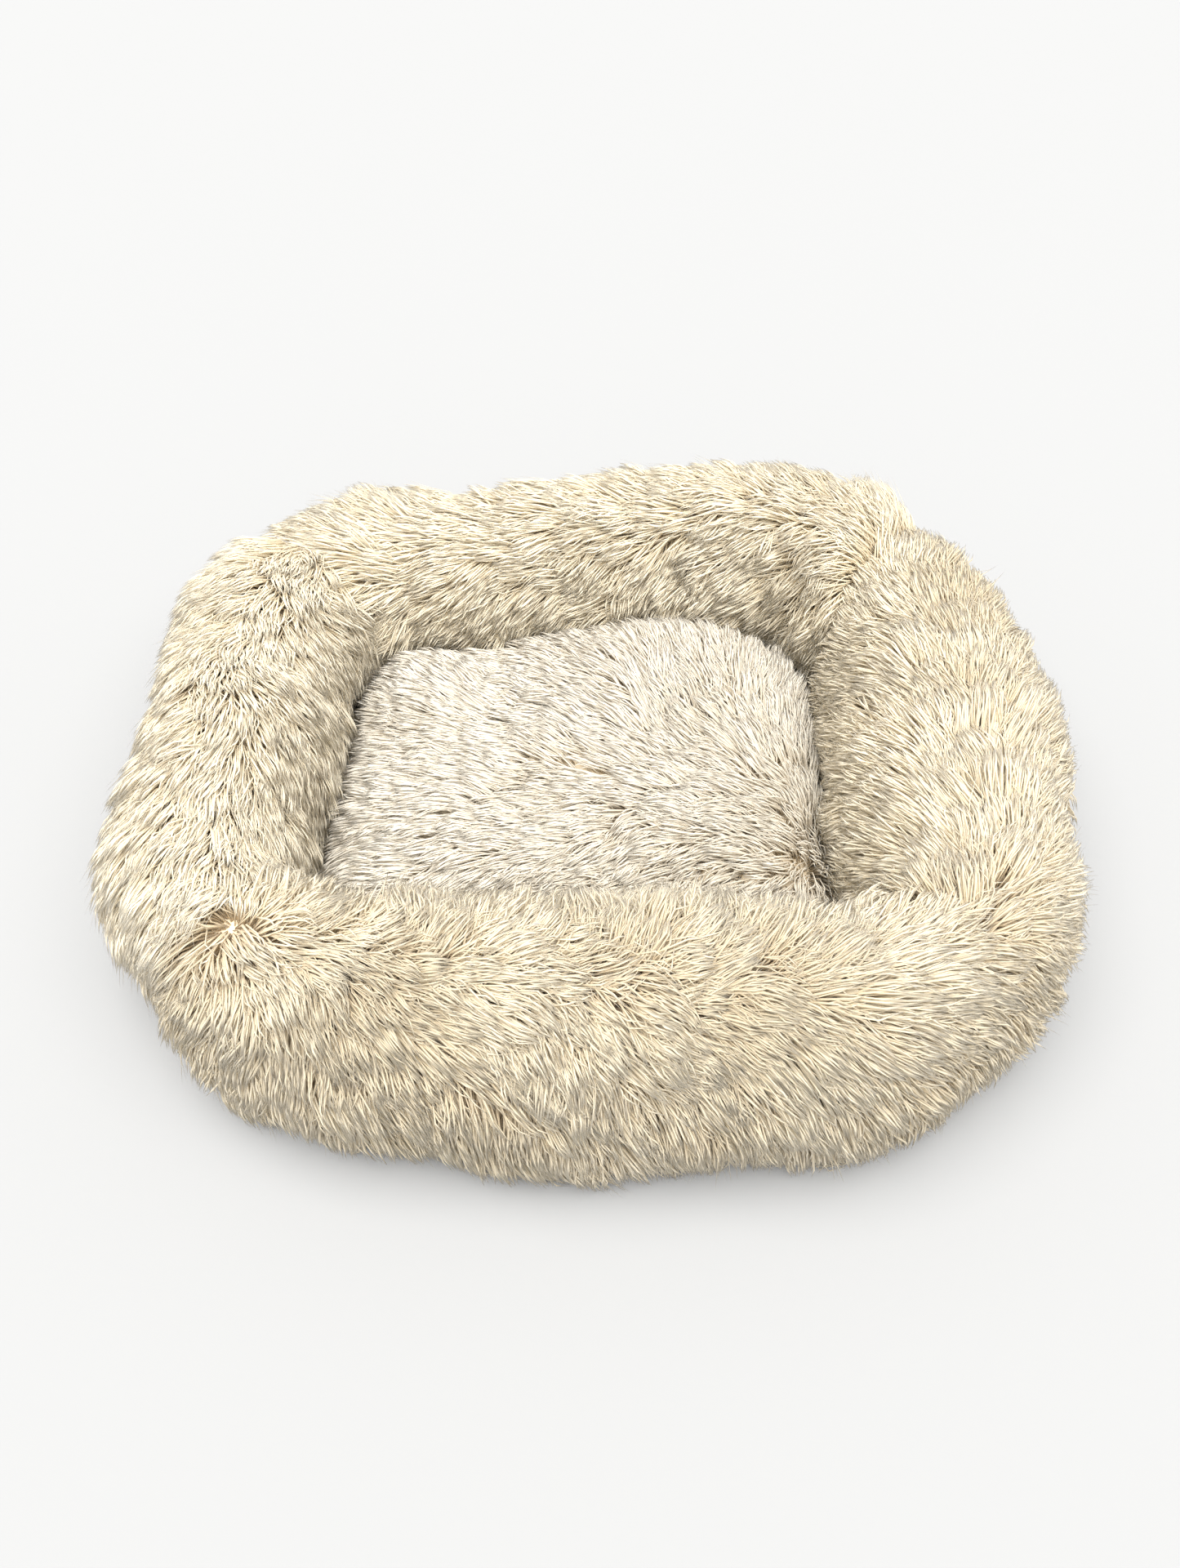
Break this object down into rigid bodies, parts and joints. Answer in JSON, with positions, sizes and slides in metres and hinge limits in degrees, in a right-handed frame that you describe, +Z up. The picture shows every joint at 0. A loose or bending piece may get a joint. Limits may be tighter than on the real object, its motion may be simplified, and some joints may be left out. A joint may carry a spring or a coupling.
{
  "type": "pet cushion bed",
  "caption": "Rectangular plush pet bed with a raised stuffed rim around a sleeping well and a loose fur cushion that lifts out.",
  "frame": {"origin": "on the floor, under the middle of the bed", "axes": "+X along the long side to the bed's right, -Y towards the front, +Z up"},
  "size_m": [0.64, 0.54, 0.16],
  "materials": {
    "bolster_plush": "long cream faux-fur pile, matt with soft sheen",
    "cushion_plush": "long ivory faux-fur pile, matt with soft sheen",
    "fibre_filling": "loose white polyester fibre",
    "seam_tape": "folded woven cotton tape",
    "non_slip_cloth": "plain woven cloth with moulded grip dots",
    "lining_cloth": "plain brushed cloth",
    "zip_tape": "woven polyester tape",
    "zip_nylon": "moulded nylon",
    "zip_metal": "cream enamelled zinc",
    "label_satin": "blank satin ribbon"
  },
  "bodies": {
    "root": {"front_bolster_cover": "bolster_plush", "front_bolster_filling": "fibre_filling", "back_bolster_cover": "bolster_plush", "back_bolster_filling": "fibre_filling", "left_bolster_cover": "bolster_plush", "left_bolster_filling": "fibre_filling", "right_bolster_cover": "bolster_plush", "right_bolster_filling": "fibre_filling", "front_left_corner_seam": "seam_tape", "front_right_corner_seam": "seam_tape", "back_left_corner_seam": "seam_tape", "back_right_corner_seam": "seam_tape", "base_cloth": "non_slip_cloth", "base_binding": "seam_tape", "floor_pad": "fibre_filling", "well_lining": "lining_cloth", "zip_tape_upper": "zip_tape", "zip_tape_lower": "zip_tape", "zip_teeth_upper": "zip_nylon", "zip_teeth_lower": "zip_nylon", "zip_stop_left": "zip_metal", "zip_stop_right": "zip_metal", "care_label": "label_satin"},
    "cushion": {"cushion_top_cover": "cushion_plush", "cushion_bottom_cover": "lining_cloth", "cushion_filling": "fibre_filling"},
    "zip_slider": {"zip_slider": "zip_metal"},
    "zip_pull": {"zip_pull": "zip_metal"}
  },
  "joints": [
    {"name": "cushion_lift", "type": "slide", "parent": "root", "child": "cushion", "axis": [0, 0, 1], "range_m": [0, 0.2]},
    {"name": "zip_slide", "type": "slide", "parent": "root", "child": "zip_slider", "axis": [-1, 0, 0], "range_m": [0, 0.2284]},
    {"name": "zip_pull_swing", "type": "hinge", "parent": "zip_slider", "child": "zip_pull", "pos_m": [0.1142, 0.25631, 0.03], "axis": [0, 0, -1], "range_deg": [0, 160]}
  ]
}
